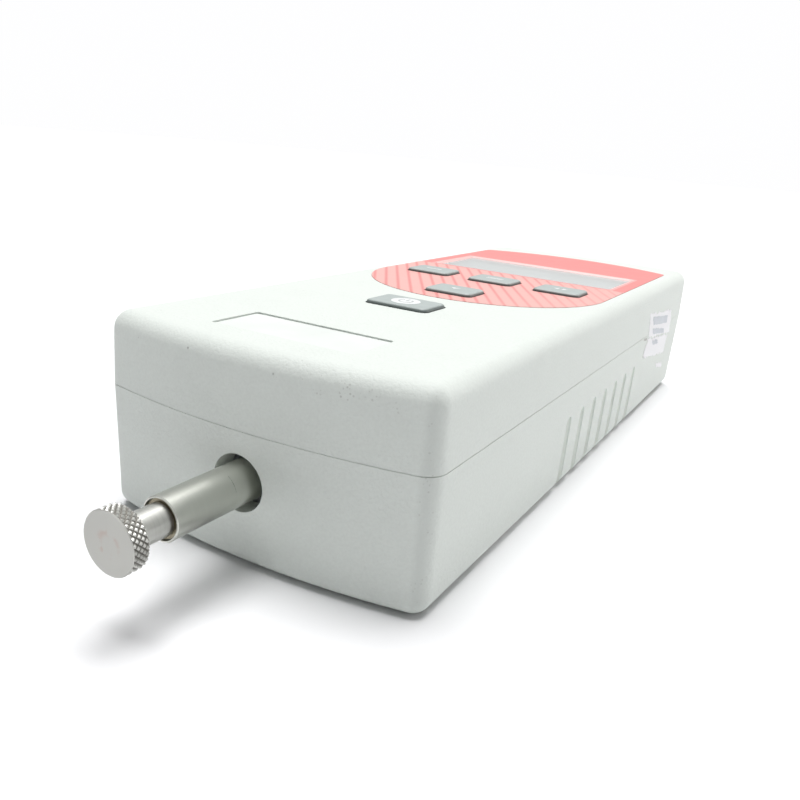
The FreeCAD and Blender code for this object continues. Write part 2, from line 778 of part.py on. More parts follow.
def mounting_inserts():
    """The threaded metal inserts in the back."""
    return [ring(insert_radius, insert_bore_radius, V(x, y, 0), insert_length, Z_AXIS) for x, y in insert_places]


def battery_cells():
    """The round cells, side by side."""
    places = [battery_first_x + n * battery_pitch for n in range(cell_count)]
    return [rod(battery_radius, V(x, battery_front_y, battery_axis_z), battery_length, Y_AXIS) for x in places]


def battery_tray():
    """The cradle under the cells, with low walls all round."""
    half = battery_half_width
    y0 = battery_front_y - battery_gap - tab_thickness
    y1 = battery_back_y + battery_gap + tab_thickness
    top = floor_thickness + tray_side
    outer = block(-half - tray_wall, half + tray_wall, y0 - tray_wall, y1 + tray_wall, floor_thickness, top)
    return cut(outer, block(-half, half, y0, y1, floor_thickness + tray_floor, top + 1))


def battery_tabs():
    """The welded nickel links between neighbouring cells, at alternate ends, and the two end tabs."""
    z = battery_axis_z
    found = []
    for n in range(-1, cell_count):
        x0 = battery_first_x + max(n, 0) * battery_pitch - tab_width / 2
        x1 = battery_first_x + min(n + 1, cell_count - 1) * battery_pitch + tab_width / 2
        y0 = battery_back_y if n % 2 else battery_front_y - tab_thickness
        found.append(block(x0, x1, y0, y0 + tab_thickness, z - tab_width / 2, z + tab_width / 2))
    return found


def battery_strap():
    """The strap that holds the cells down, hooked over the tray's side walls."""
    middle = battery_front_y + battery_length / 2
    y0, y1 = middle - strap_width / 2, middle + strap_width / 2
    top = battery_axis_z + battery_radius + strap_gap
    low = floor_thickness + tray_side
    outer = battery_half_width + tray_wall
    inner = outer - strap_thickness
    frame = block(-outer, outer, y0, y1, low, top + strap_thickness)
    return cut(frame, block(-inner, inner, y0 - 1, y1 + 1, low - 1, top))


def connector_shell():
    """The metal D-shaped shell with its flange behind the panel."""
    y0 = panel_inner_y - connector_flange_thickness
    half_w, half_h = connector_flange_width / 2, connector_flange_height / 2
    flange = block(
        connector_x - half_w, connector_x + half_w, y0, panel_inner_y, connector_height - half_h, connector_height + half_h
    )
    tools = [d_prism(-shell_wall, y0 - 1, panel_inner_y + shell_reach + 1)]
    tools += [rod(jackscrew_shank + shank_gap, V(x, y0 - 1, connector_height), 3, Y_AXIS) for x in jackscrew_places()]
    return cut(fuse(flange, d_prism(0, panel_inner_y, panel_inner_y + shell_reach)), *tools)


def connector_insert():
    """The moulded block that holds the contacts, with its three rows of holes."""
    y0 = panel_inner_y - connector_flange_thickness
    face_y = panel_inner_y + shell_reach - insert_face_drop
    plug = d_prism(-shell_wall, y0, face_y)
    half_w, half_h = connector_body_width / 2, connector_body_height / 2
    body = block(
        connector_x - half_w, connector_x + half_w, y0 - connector_body_length, y0, connector_height - half_h, connector_height + half_h
    )
    holes = []
    for row in (-1, 0, 1):
        for n in range(-2, 3):
            x = connector_x + (n + row * 0.25) * pin_pitch
            z = connector_height + row * pin_row_pitch
            holes.append(rod(pin_hole_radius, V(x, face_y - pin_hole_depth, z), pin_hole_depth + 1, Y_AXIS))
    return cut(fuse(plug, body), *holes)


def connector_jackscrews():
    """Two hex posts that hold the connector to the panel, threaded for the plug's screws."""
    found = []
    for x in jackscrew_places():
        corner = jackscrew_hex / math.sqrt(3)
        points = [
            V(x + corner * math.cos(math.radians(60 * n)), panel_floor_y, connector_height + corner * math.sin(math.radians(60 * n)))
            for n in range(7)
        ]
        post = Part.Face(Part.makePolygon(points)).extrude(V(0, jackscrew_length, 0))
        depth = panel_thickness + connector_flange_thickness + 2
        shank = rod(jackscrew_shank, V(x, panel_floor_y - depth, connector_height), depth, Y_AXIS)
        found.append(cut(fuse(post, shank), rod(jackscrew_bore, V(x, panel_floor_y + 0.6, connector_height), jackscrew_length, Y_AXIS)))
    return found


def power_jack():
    """The charger socket: a barrel through the panel and its body behind."""
    back = panel_inner_y - jack_body_length
    body = block(
        jack_x - jack_body_width / 2, jack_x + jack_body_width / 2, back, panel_inner_y,
        connector_height - jack_body_height / 2, connector_height + jack_body_height / 2,
    )
    barrel = rod(jack_barrel_radius, V(jack_x, panel_inner_y, connector_height), panel_thickness + jack_proud, Y_AXIS)
    mouth = panel_floor_y + jack_proud
    return cut(fuse(body, barrel), rod(jack_bore_radius, V(jack_x, mouth - jack_bore_depth, connector_height), jack_bore_depth + 1, Y_AXIS))


def power_jack_pin():
    """The centre contact of the charger socket."""
    mouth = panel_floor_y + jack_proud
    return rod(jack_pin_radius, V(jack_x, mouth - jack_bore_depth, connector_height), jack_bore_depth - jack_pin_drop, Y_AXIS)


def interface_board():
    """The small upright board behind the connectors, standing on the floor."""
    return block(
        -interface_half_width, interface_half_width, interface_front_y, interface_front_y + board_thickness,
        floor_thickness, interface_top,
    )


def ribbon_cable():
    """The flat cable from the interface board up to the main board."""
    half = ribbon_width / 2
    inner = 3.0
    outer = inner + ribbon_thickness
    low = interface_top - ribbon_width / 2
    centre_y = interface_front_y - outer
    centre_z = board_under - outer
    riser = block(ribbon_x - half, ribbon_x + half, interface_front_y - ribbon_thickness, interface_front_y, low, centre_z)
    bend = ring(outer, inner, V(ribbon_x - half, centre_y, centre_z), ribbon_width, X_AXIS)
    bend = bend.common(block(ribbon_x - half, ribbon_x + half, centre_y, interface_front_y, centre_z, board_under))
    end_y = board_back_y - 2 * board_boss_inset
    run = block(ribbon_x - half, ribbon_x + half, end_y, centre_y, board_under - ribbon_thickness, board_under)
    return fuse(riser, bend, run)


def load_shaft():
    """The round shaft: washer seat and threaded hole in front, collar and stud behind."""
    axis = V(0, shaft_front_y, shaft_height)
    body = rod(shaft_radius, axis, shaft_shoulder_y - shaft_front_y, Y_AXIS)
    rim = [e for e in body.Edges if abs(e.CenterOfMass.y - shaft_front_y) < 1e-6]
    body = body.makeChamfer(shaft_rim_chamfer * 0.5, rim)
    middle = (stop_front_y + stop_back_y) / 2
    collar = rod(collar_radius, V(0, middle - collar_length / 2, shaft_height), collar_length, Y_AXIS)
    stud = rod(stud_radius, V(0, shaft_shoulder_y, shaft_height), stud_length, Y_AXIS)
    socket = rod(socket_radius, axis, socket_depth, Y_AXIS)
    hole = rod(thread_radius + thread_clearance, axis, socket_depth + thread_hole_length, Y_AXIS)
    return cut(fuse(body, collar, stud), socket, hole)


def adapter_washer():
    """The ring washer at the bottom of the shaft's seat."""
    bore = thread_radius + washer_bore_gap
    return ring(washer_radius, bore, V(0, neck_back_y, shaft_height), washer_thickness, Y_AXIS)


def flat_adapter():
    """The flat-faced knob, its neck and the threaded stud that screws into the shaft."""
    knob = rod(knob_radius, V(0, knob_front_y, shaft_height), knob_length, Y_AXIS)
    knob = knob.makeChamfer(knob_chamfer, [e for e in knob.Edges if abs(e.Length - 2 * math.pi * knob_radius) < 1e-6])
    neck = rod(neck_radius, V(0, knob_back_y, shaft_height), neck_length, Y_AXIS)
    rim = [e for e in neck.Edges if abs(e.CenterOfMass.y - neck_back_y) < 1e-6]
    neck = neck.makeChamfer(neck_chamfer, rim)
    thread = rod(thread_radius, V(0, neck_back_y, shaft_height), adapter_thread_length, Y_AXIS)
    return fuse(knob, neck, thread)


def cell_lead():
    """The lead from the load cell up to its socket."""
    start = V(cell_socket_x, (cell_front_y + cell_back_y) / 2 + gauge_length, cell_top)
    finish = V(cell_socket_x, cell_socket_y - socket_block[1] / 2, board_under - socket_block[2] / 2)
    return lead([start, V(start.x, start.y, finish.z), finish], lead_radius)


def battery_lead():
    """The lead from the last battery tab up to its socket."""
    start = V(battery_first_x, battery_back_y + tab_thickness, battery_axis_z)
    finish = V(battery_first_x, battery_socket_y, board_under - socket_block[2])
    return lead([start, V(start.x, finish.y, start.z), finish], lead_radius)


save("front_case", front_case())
save("rear_case", rear_case())
save("keypad_overlay", keypad_overlay())
save("display_window", display_window())
save("name_plate", name_plate())
for key_name, key_x, key_y, cap_width, cap_depth, cap_rise in keys:
    save(key_name, key_cap(key_x, key_y, cap_width, cap_depth, cap_rise))
save("keypad_mat", keypad_mat())
save("dome_contacts", *dome_contacts())
save("lcd_frame", lcd_frame())
save("lcd_glass", lcd_glass())
save("main_board", main_board())
save("board_components", *board_components())
save("buzzer", buzzer())
save("board_screws", *[screw(x, y, board_under, board_screw_length, 1) for x, y in board_boss_places])
save("case_screws", *[screw(x, y, case_head_z, parting_height + case_screw_reach - case_head_z, 1) for x, y in pillar_places])
save("mounting_inserts", *mounting_inserts())
save("chassis_plate", chassis_plate())
save("chassis_screws", *[screw(x, y, chassis_head_z, chassis_top - chassis_head_z, 1) for x, y in chassis_screw_places])
save("overload_stop", overload_stop())
save("load_cell", load_cell())
save("load_cell_screws", *load_cell_screws())
save("strain_gauges", *strain_gauges())
save("cell_lead", cell_lead())
save("battery_tray", battery_tray())
save("battery_cells", *battery_cells())
save("battery_tabs", *battery_tabs())
save("battery_strap", battery_strap())
save("battery_lead", battery_lead())
save("interface_board", interface_board())
save("connector_shell", connector_shell())
save("connector_insert", connector_insert())
save("connector_jackscrews", *connector_jackscrews())
save("power_jack", power_jack())
save("power_jack_pin", power_jack_pin())
save("ribbon_cable", ribbon_cable())
save("load_shaft", load_shaft())
save("adapter_washer", adapter_washer())
save("flat_adapter", flat_adapter())
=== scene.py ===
# %% [markdown]
# # Dressing a hand-held force gauge
# The gauge's solids come packed from the CAD model and are already in their places, in metres.
# This lesson gives them their finishes and adds what is too fine for the solids: the knurl on the
# adapter, the marks on the keys, the stripes on the red overlay and torn scraps of paper.

import bpy
import bmesh
import json
import math
import random
from mathutils import Matrix, Vector
from mathutils.geometry import convex_hull_2d


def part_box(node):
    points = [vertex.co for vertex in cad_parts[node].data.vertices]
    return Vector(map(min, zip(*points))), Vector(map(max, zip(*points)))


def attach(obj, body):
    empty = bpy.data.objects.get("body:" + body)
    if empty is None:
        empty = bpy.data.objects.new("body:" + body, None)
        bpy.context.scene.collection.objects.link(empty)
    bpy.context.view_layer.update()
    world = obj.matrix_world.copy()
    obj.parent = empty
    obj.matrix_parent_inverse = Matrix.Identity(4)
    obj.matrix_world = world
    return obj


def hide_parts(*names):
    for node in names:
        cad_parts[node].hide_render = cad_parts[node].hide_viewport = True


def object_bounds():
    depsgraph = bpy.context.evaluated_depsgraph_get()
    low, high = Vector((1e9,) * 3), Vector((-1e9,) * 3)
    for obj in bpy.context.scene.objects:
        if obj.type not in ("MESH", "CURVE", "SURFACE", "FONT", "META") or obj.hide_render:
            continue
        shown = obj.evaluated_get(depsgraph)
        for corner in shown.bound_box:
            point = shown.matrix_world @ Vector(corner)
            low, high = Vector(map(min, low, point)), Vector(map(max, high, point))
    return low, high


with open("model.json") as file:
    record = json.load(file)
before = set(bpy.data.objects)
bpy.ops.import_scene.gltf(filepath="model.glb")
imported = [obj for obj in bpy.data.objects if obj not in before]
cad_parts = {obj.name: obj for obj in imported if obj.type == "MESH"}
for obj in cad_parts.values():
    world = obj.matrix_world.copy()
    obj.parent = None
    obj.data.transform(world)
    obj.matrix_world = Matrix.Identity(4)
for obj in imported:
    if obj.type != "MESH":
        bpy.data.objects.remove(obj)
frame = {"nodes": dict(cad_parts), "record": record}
nodes = frame["nodes"]
cad_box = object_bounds()
mm = 0.001

# %% [markdown]
# ## The camera
# The photograph looks down on the gauge's shaft end from its right. Its lens, place and tilt were
# found by fitting the case's straight edges, so the values are simply stated here. A camera in
# Blender looks along its own -Z, with +Y upwards in the picture.

# %% Place the camera
eye = Vector((83.849, -195.553, 74.904)) * mm
yaw = -0.5008
pitch = -0.3140
roll = 0.0827
sensor_width = 36
picture_width = 800
focal_pixels = 770.77
ahead = Vector((math.sin(yaw) * math.cos(pitch), math.cos(yaw) * math.cos(pitch), math.sin(pitch)))
level = Vector((math.cos(yaw), -math.sin(yaw), 0))
above = level.cross(ahead)
right = level * math.cos(roll) + above * math.sin(roll)
upward = above * math.cos(roll) - level * math.sin(roll)
lens = bpy.data.cameras.new("camera")
lens.sensor_fit = "HORIZONTAL"
lens.sensor_width = sensor_width
lens.lens = focal_pixels / picture_width * sensor_width
lens.clip_start = 0.005
camera = bpy.data.objects.new("camera", lens)
turn = Matrix((right, upward, -ahead)).transposed()
camera.matrix_world = Matrix.Translation(eye) @ turn.to_4x4()
bpy.context.scene.collection.objects.link(camera)
bpy.context.scene.camera = camera
print("camera lens", round(lens.lens, 2), "mm")

# %% [markdown]
# ## Writing nodes as sums
# A material is a tree of nodes. Written out one by one, even a simple sum takes many lines, so one
# small class stands for a socket and turns +, -, *, / and comparisons into Math nodes. Every other
# kind of node comes from one method, which takes its type, its settings and its inputs. The same
# two classes serve materials, the world and Geometry Nodes.


# %% A socket that can be added and multiplied
class Value:
    """One socket of a node tree. An operator on it adds the Math node that it means."""

    def __init__(self, wiring, socket):
        self.wiring = wiring
        self.socket = socket

    def maths(self, operation, *values):
        return self.wiring.add("ShaderNodeMath", {"operation": operation}, dict(enumerate(values)))

    def __add__(self, other):
        return self.maths("ADD", self, other)

    def __sub__(self, other):
        return self.maths("SUBTRACT", self, other)

    def __rsub__(self, other):
        return self.maths("SUBTRACT", other, self)

    def __mul__(self, other):
        return self.maths("MULTIPLY", self, other)

    def __truediv__(self, other):
        return self.maths("DIVIDE", self, other)

    def __pow__(self, other):
        return self.maths("POWER", self, other)

    def __gt__(self, other):
        return self.maths("GREATER_THAN", self, other)

    def __lt__(self, other):
        return self.maths("LESS_THAN", self, other)

    def __mod__(self, other):
        return self.maths("FLOORED_MODULO", self, other)

    def __abs__(self):
        return self.maths("ABSOLUTE", self)

    __radd__ = __add__
    __rmul__ = __mul__


class Wiring:
    """Adds nodes to one tree: a material's, the world's or one of Geometry Nodes."""

    def __init__(self, tree):
        self.tree = tree

    def feed(self, socket, value):
        if isinstance(value, Value):
            self.tree.links.new(value.socket, socket)
        else:
            socket.default_value = value

    def add(self, kind, settings=None, inputs=None, output=0):
        node = self.tree.nodes.new(kind)
        for name, value in (settings or {}).items():
            setattr(node, name, value)
        for name, value in (inputs or {}).items():
            self.feed(node.inputs[name], value)
        return Value(self, node.outputs[output]) if len(node.outputs) else node


print("node helpers ready")

# %% [markdown]
# ## What every finish shares
# Each finish starts as a Principled shader. Colours and sizes that are the same all over go
# straight on its sockets. Patterns read Object coordinates, which are metres here, so a grain of
# half a millimetre has a noise scale of 2000.


# %% Start a finish, and mix and mask inside it
class Finish(Wiring):
    """One material: its tree, its Principled shader and its object coordinates."""

    def __init__(self, name, colour, roughness, metallic=0.0, **constants):
        self.material = bpy.data.materials.new(name)
        self.material.use_nodes = True
        super().__init__(self.material.node_tree)
        self.shader = self.tree.nodes["Principled BSDF"]
        self.colour = (*colour, 1.0)
        self.shader.inputs["Base Color"].default_value = self.colour
        self.shader.inputs["Roughness"].default_value = roughness
        self.shader.inputs["Metallic"].default_value = metallic
        for socket, value in constants.items():
            self.shader.inputs[socket.replace("_", " ")].default_value = value
        self.place = self.add("ShaderNodeTexCoord", output=3)
        self.material.diffuse_color = self.colour

    def set(self, socket, value):
        self.feed(self.shader.inputs[socket], value)

    def axis(self, letter):
        return self.add("ShaderNodeSeparateXYZ", None, {0: self.place}, "XYZ".index(letter))

    def stretched(self, *scale):
        """Coordinates scaled by x, y and z, which draws a noise out where the scale is small."""
        inputs = {0: self.place, 1: scale}
        return self.add("ShaderNodeVectorMath", {"operation": "MULTIPLY"}, inputs)

    def noise(self, size, detail=2.0, place=None):
        where = self.place if place is None else place
        inputs = {"Vector": where, "Scale": 1 / size, "Detail": detail}
        return self.add("ShaderNodeTexNoise", None, inputs)

    def specks(self, size):
        """How far the nearest of many scattered points is, in units of size."""
        return self.add("ShaderNodeTexVoronoi", None, {"Vector": self.place, "Scale": 1 / size})

    def step(self, value, low, high):
        """0 below low, 1 above high, and smooth between."""
        inputs = {"Value": value, "From Min": low, "From Max": high}
        return self.add("ShaderNodeMapRange", {"interpolation_type": "SMOOTHSTEP"}, inputs)

    def band(self, value, low, high, soft):
        """1 between low and high."""
        risen = self.step(value, low - soft, low + soft)
        return risen * self.until(value, high - soft, high + soft)

    def until(self, value, low, high):
        """1 below low, 0 above high, and smooth between."""
        return 1 - self.step(value, low, high)

    def larger(self, first, second):
        return self.add("ShaderNodeMath", {"operation": "MAXIMUM"}, {0: first, 1: second})

    def mix(self, share, first, second):
        colours = [c if isinstance(c, Value) else (*c[:3], 1.0) for c in (first, second)]
        inputs = {0: share, 6: colours[0], 7: colours[1]}
        return self.add("ShaderNodeMix", {"data_type": "RGBA"}, inputs, 2)

    def bump(self, height, depth, strength=1.0):
        inputs = {"Height": height, "Distance": depth, "Strength": strength}
        self.set("Normal", self.add("ShaderNodeBump", None, inputs))


def darker(colour, share):
    return tuple(channel * share for channel in colour)


def lighter(colour, share):
    return tuple(min(channel * share, 1) for channel in colour)


print("finish helpers ready")

# %% [markdown]
# ## Moulded case
# The two shells are a pale grey-green plastic, moulded in a tool with a fine spark-eroded texture.
# A noise of about half a millimetre makes the grain. Handling leaves faint grey smudges. The top
# edge at the shaft end has a few small dark nicks, and pores show where hands rub the rim and the
# right-hand corner. Specks masked to those places give both. The upright corner at the shaft end
# is also darkened, a painted shade, and the floors of the grip grooves are painted much paler than
# the rest, a painted light.


# %% The case's plastic
side_x = cad_box[1].x
rim_low, rim_high = 35.9 * mm, 41.2 * mm
# painted light: a much paler colour for the floors of the grip grooves
painted_groove_light = (0.95, 0.98, 0.94)


def case_finish():
    colour = (0.785, 0.828, 0.787)
    finish = Finish("case_plastic", colour, 0.62)
    x, y, z = [finish.axis(letter) for letter in "XYZ"]
    grain = finish.noise(0.55 * mm, 3.0)
    smudge = finish.step(finish.noise(14 * mm, 4.0), 0.52, 0.75)

    shaft_end = finish.until(y, -98.5 * mm, -95.5 * mm)
    rim = finish.band(z, rim_low, rim_high, 0.4 * mm)
    patches = finish.step(finish.noise(5 * mm, 1.0), 0.56, 0.62)
    nick = finish.until(finish.specks(2.6 * mm), 0.05, 0.12) * patches * shaft_end * rim
    spots = finish.step(finish.noise(9 * mm, 1.0), 0.55, 0.6)
    speck = finish.until(finish.specks(4.2 * mm), 0.035, 0.06) * spots

    corner = finish.step(x, 33.5 * mm, 35.5 * mm) * finish.until(y, -97 * mm, -92 * mm)
    right_rim = rim * shaft_end * finish.step(x, 4 * mm, 14 * mm)
    worn = finish.step(finish.noise(2.2 * mm, 2.0), 0.50, 0.62) * finish.larger(corner, right_rim)
    pore = finish.until(finish.specks(0.75 * mm), 0.16, 0.34) * worn

    across, along = abs(x), abs(y)
    groove = finish.until(across, side_x - 0.75 * mm, side_x - 0.60 * mm)
    groove = groove * finish.step(across, side_x - 3.0 * mm, side_x - 2.5 * mm)
    groove = groove * finish.until(z, 19.0 * mm, 19.6 * mm)
    groove = groove * finish.until(along, 70 * mm, 74 * mm)

    shade = finish.mix(grain, darker(colour, 0.93), lighter(colour, 1.05))
    shade = finish.mix(smudge * 0.25, shade, darker(colour, 0.90))
    # painted shade: the upright corner at the shaft end is darkened
    shade = finish.mix(corner * 0.85, shade, darker(colour, 0.82))
    shade = finish.mix(speck * 0.35, shade, (0.42, 0.42, 0.39))
    shade = finish.mix(pore * 0.42, shade, (0.36, 0.36, 0.33))
    # painted light: the floors of the grip grooves are painted much paler
    shade = finish.mix(groove * 0.8, shade, painted_groove_light)
    finish.set("Base Color", finish.mix(nick * 0.6, shade, (0.20, 0.19, 0.17)))
    finish.set("Roughness", 0.55 + grain * 0.16 + smudge * -0.06)
    finish.bump(grain - nick * 0.8, 0.16 * mm, 0.7)
    return finish


finishes = {"case_plastic": case_finish()}
print("case finish nodes", len(finishes["case_plastic"].tree.nodes))

# %% [markdown]
# ## Red overlay
# The overlay is a polyester sheet printed from behind. Beyond the display it is a plain red band.
# Below the display thin dark red lines slant across a lighter red, 3.15 mm apart and about 59
# degrees from the long side of a key. They are a plain repeating pattern, so a modulo of the
# distance across them draws them. A slightly paler line frames the display.


# %% The overlay's printed film
window_low, window_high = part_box("display_window")
window_middle = (window_low.y + window_high.y) / 2
lens_edge = 2.0 * mm
stripe_pitch = 3.15 * mm
stripe_slant = math.radians(-59)


def overlay_finish():
    light = (0.95, 0.50, 0.46)
    deep = (0.93, 0.29, 0.275)
    finish = Finish("overlay_film", deep, 0.38, Specular_IOR_Level=0.45)
    x, y = finish.axis("X"), finish.axis("Y")
    across = x * -math.sin(stripe_slant) + y * math.cos(stripe_slant)
    phase = (across % stripe_pitch) / stripe_pitch
    fading = 1 - finish.step(x, 2 * mm, 30 * mm) * 0.45
    stripe = finish.band(phase, 0.34, 0.58, 0.10) * fading
    below = finish.until(y, window_low.y + 0.4 * mm, window_low.y + 0.9 * mm)
    ground = finish.mix(below, deep, light)
    printed = finish.mix(stripe * below * 0.85, ground, (0.80, 0.25, 0.24))
    frame_out = 1.5 * mm - lens_edge
    past_x = abs(x) - (window_high.x + frame_out)
    past_y = abs(y - window_middle) - (window_high.y - window_middle + frame_out)
    frame_line = finish.band(finish.larger(past_x, past_y), -1.5 * mm, -0.4 * mm, 0.1 * mm)
    finish.set("Base Color", finish.mix(frame_line * 0.5, printed, (0.93, 0.66, 0.64)))
    wear = finish.noise(6 * mm, 3.0)
    finish.set("Roughness", 0.30 + wear * 0.16)
    finish.bump(finish.noise(0.25 * mm, 1.0), 0.01 * mm, 0.3)
    return finish


finishes["overlay_film"] = overlay_finish()
print("overlay finish nodes", len(finishes["overlay_film"].tree.nodes))

# %% [markdown]
# ## Display
# A clear lens lies over a pale bluish grey display. Seen from above the lens is nearly invisible,
# but at a low angle it mostly mirrors the pale room, so its alpha grows with the slant of the view.
# That renders without the noise of real refraction. The display shows faint ghosts of its unlit
# segments: two uprights and three bars to each digit.


# %% The lens and the display
digit_pitch = 9 * mm
hairline = 0.08 * mm


def lens_finish():
    finish = Finish("window_clear", (0.80, 0.835, 0.83), 0.08, IOR=1.49)
    slant_view = finish.add("ShaderNodeLayerWeight", None, {"Blend": 0.5}, 1)
    finish.set("Alpha", 0.25 + slant_view * 0.70)
    finish.set("Roughness", 0.10 + finish.noise(9 * mm, 3.0) * 0.10)
    return finish


def display_finish():
    colour = (0.67, 0.745, 0.75)
    finish = Finish("lcd", colour, 0.22)
    x = abs((finish.axis("X") % digit_pitch) - digit_pitch / 2)
    y = abs(finish.axis("Y") - window_middle)
    uprights = finish.band(x, 2.6 * mm, 3.3 * mm, hairline) * finish.until(y, 6.8 * mm, 7.0 * mm)
    bars = finish.band(y, 6.6 * mm, 7.3 * mm, hairline) + finish.until(y, 0.3 * mm, 0.4 * mm)
    ghosts = uprights + bars * finish.until(x, 2.5 * mm, 2.6 * mm)
    tint = finish.mix(finish.noise(20 * mm, 1.0), colour, darker(colour, 0.93))
    finish.set("Base Color", finish.mix(ghosts * 0.10, tint, (0.30, 0.33, 0.34)))
    finish.set("Roughness", 0.18 + finish.noise(3 * mm, 2.0) * 0.08)
    return finish


finishes["window_clear"] = lens_finish()
finishes["lcd"] = display_finish()
print("display finishes ready")

# %% [markdown]
# ## Keys, films and other plastics
# Most other parts are plain moulded plastic, rubber or film. They differ in colour, in the size of
# their grain and in how far it stands up, so one recipe with a table of values makes them all.


# %% One recipe for plain finishes
def grained(name, colour, roughness, grain, depth, cloud=0.10):
    """Fine grain in the bump and roughness, and slow clouds in the colour. Sizes are in mm."""
    finish = Finish(name, colour, roughness)
    fine = finish.noise(grain * mm, 2.0)
    slow = finish.noise(12 * mm, 3.0)
    clouds = finish.mix(slow, darker(colour, 1 - cloud), lighter(colour, 1 + cloud))
    finish.set("Base Color", clouds)
    finish.set("Roughness", (roughness - 0.06) + fine * 0.12)
    finish.bump(fine, depth * mm, 0.5)
    return finish


# slot: colour, roughness, grain and its depth in mm
plain = {
    "plate_film": ((0.795, 0.83, 0.80), 0.58, 0.30, 0.01),
    "pale_bezel_painted_reflection": ((0.66, 0.69, 0.70), 0.45, 0.30, 0.01),
    "silicone": ((0.20, 0.20, 0.21), 0.70, 0.30, 0.02),
    "black_plastic": ((0.045, 0.045, 0.048), 0.50, 0.25, 0.03),
    "chip_plastic": ((0.06, 0.06, 0.065), 0.55, 0.20, 0.02),
    "grey_sheath": ((0.42, 0.42, 0.43), 0.50, 0.40, 0.02),
    "red_sheath": ((0.52, 0.05, 0.045), 0.48, 0.40, 0.02),
    "cell_wrap": ((0.09, 0.36, 0.21), 0.25, 0.80, 0.02),
    "gauge_foil": ((0.72, 0.46, 0.12), 0.30, 0.30, 0.01),
}
for slot_name, values in plain.items():
    finishes[slot_name] = grained(slot_name, *values)
print("plain finishes", len(plain))

# %% [markdown]
# ## Keys
# The keys are dark satin plastic. Their tops are painted much paler than their sides, a painted
# reflection of the pale room, so the colour changes with the height on the key.


# %% Keys with painted pale tops
def key_finish():
    dark = (0.14, 0.165, 0.16)
    finish = Finish("key_plastic", dark, 0.34)
    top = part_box("key_middle")[1].z
    # painted reflection: the key's top is painted much paler than its sides
    painted_top_sheen = finish.step(finish.axis("Z"), top - 0.55 * mm, top - 0.10 * mm)
    painted_top_sheen = painted_top_sheen * (0.80 + finish.noise(3 * mm, 3.0) * 0.4)
    finish.set("Base Color", finish.mix(painted_top_sheen, dark, (0.475, 0.53, 0.515)))
    fine = finish.noise(0.22 * mm, 2.0)
    finish.set("Roughness", 0.34 + fine * 0.14)
    finish.bump(fine, 0.015 * mm, 0.5)
    return finish


finishes["key_plastic"] = key_finish()
print("key finish nodes", len(finishes["key_plastic"].tree.nodes))

# %% [markdown]
# ## Metals
# The shaft is ground stainless steel. Grinding leaves very fine lines round it, so the noise is
# squeezed along the shaft and drawn out across it. The other metals take the same recipe with
# their own colour, line spacing and direction.


# %% One recipe for worked metal
def worked_metal(name, colour, roughness, spacing, along, contrast=0.12, depth=0.004):
    """Fine tool lines, squeezed or drawn out by along's scale for each axis. Sizes are in mm."""
    finish = Finish(name, colour, roughness, 1.0)
    lines = finish.noise(spacing * mm, 2.0, finish.stretched(*along))
    slow = finish.noise(7 * mm, 3.0)
    shades = finish.mix(lines, darker(colour, 1 - contrast), lighter(colour, 1 + contrast))
    finish.set("Base Color", shades)
    finish.set("Roughness", (roughness - 0.08) + lines * 0.10 + slow * 0.08)
    finish.bump(lines, depth * mm, 0.5)
    return finish


# slot: colour, roughness, line spacing in mm, scale along each axis, contrast, depth in mm
metals = {
    "shaft_steel": ((0.56, 0.57, 0.525), 0.29, 0.45, (0.02, 1, 0.02), 0.03, 0.0005),
    "screw_steel": ((0.55, 0.55, 0.56), 0.34, 0.30, (1, 1, 0.2)),
    "spring_steel": ((0.68, 0.68, 0.68), 0.30, 0.40, (1, 0.1, 1)),
    "insert_brass": ((0.38, 0.345, 0.26), 0.48, 0.30, (1, 0.1, 1)),
    "chassis_aluminium": ((0.70, 0.71, 0.72), 0.45, 0.60, (0.05, 1, 1)),
    "cell_aluminium": ((0.76, 0.77, 0.78), 0.38, 0.40, (1, 0.05, 1)),
    "plated_steel": ((0.72, 0.71, 0.68), 0.25, 0.50, (1, 1, 1)),
}
for slot_name, values in metals.items():
    finishes[slot_name] = worked_metal(slot_name, *values)
print("metals", len(metals))

# %% [markdown]
# ## The adapter's steel
# The knurled adapter is turned from the same steel. The material gets darker and rougher towards
# the knurl's valleys. The distance from the adapter's own axis says how deep a point lies.
# The flat face has a faint round stain where samples have pressed on it, and no marking.


# %% Steel that darkens in the knurl's valleys
adapter_low, adapter_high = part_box("flat_adapter")
face_y = adapter_low.y
knob_radius = (adapter_high.x - adapter_low.x) / 2
axis_height = (adapter_low.z + adapter_high.z) / 2
knob_length = 3.1 * mm
knob_back = face_y + knob_length


def adapter_finish():
    colour = (0.55, 0.55, 0.52)
    finish = Finish("adapter_steel", colour, 0.34, 1.0)
    x = finish.axis("X")
    y = finish.axis("Y")
    z = finish.axis("Z") - axis_height
    reach = (x * x + z * z) ** 0.5
    on_rim = finish.band(y, face_y + 0.06 * mm, knob_back - 0.06 * mm, 0.03 * mm)
    valley = on_rim * finish.until(reach, knob_radius - 0.34 * mm, knob_radius - 0.12 * mm)
    on_face = finish.until(y, face_y + 0.05 * mm, face_y + 0.1 * mm)
    ring = finish.band(reach, 1.4 * mm, 2.3 * mm, 0.5 * mm)
    stain = on_face * ring * finish.step(finish.noise(1.6 * mm, 3.0), 0.45, 0.6)
    lines = finish.noise(0.3 * mm, 2.0, finish.stretched(0.03, 1, 0.03))
    shade = finish.mix(lines, darker(colour, 0.9), lighter(colour, 1.1))
    shade = finish.mix(on_face * 0.30, shade, darker(colour, 0.72))
    shade = finish.mix(stain * 0.45, shade, (0.46, 0.33, 0.29))
    finish.set("Base Color", finish.mix(valley * 0.85, shade, (0.13, 0.12, 0.105)))
    finish.set("Roughness", 0.30 + lines * 0.08 + valley * 0.35 + on_face * 0.14)
    finish.bump(lines + finish.noise(0.5 * mm, 2.0) * 0.5, 0.004 * mm, 0.5)
    return finish


finishes["adapter_steel"] = adapter_finish()
print("adapter steel nodes", len(finishes["adapter_steel"].tree.nodes))

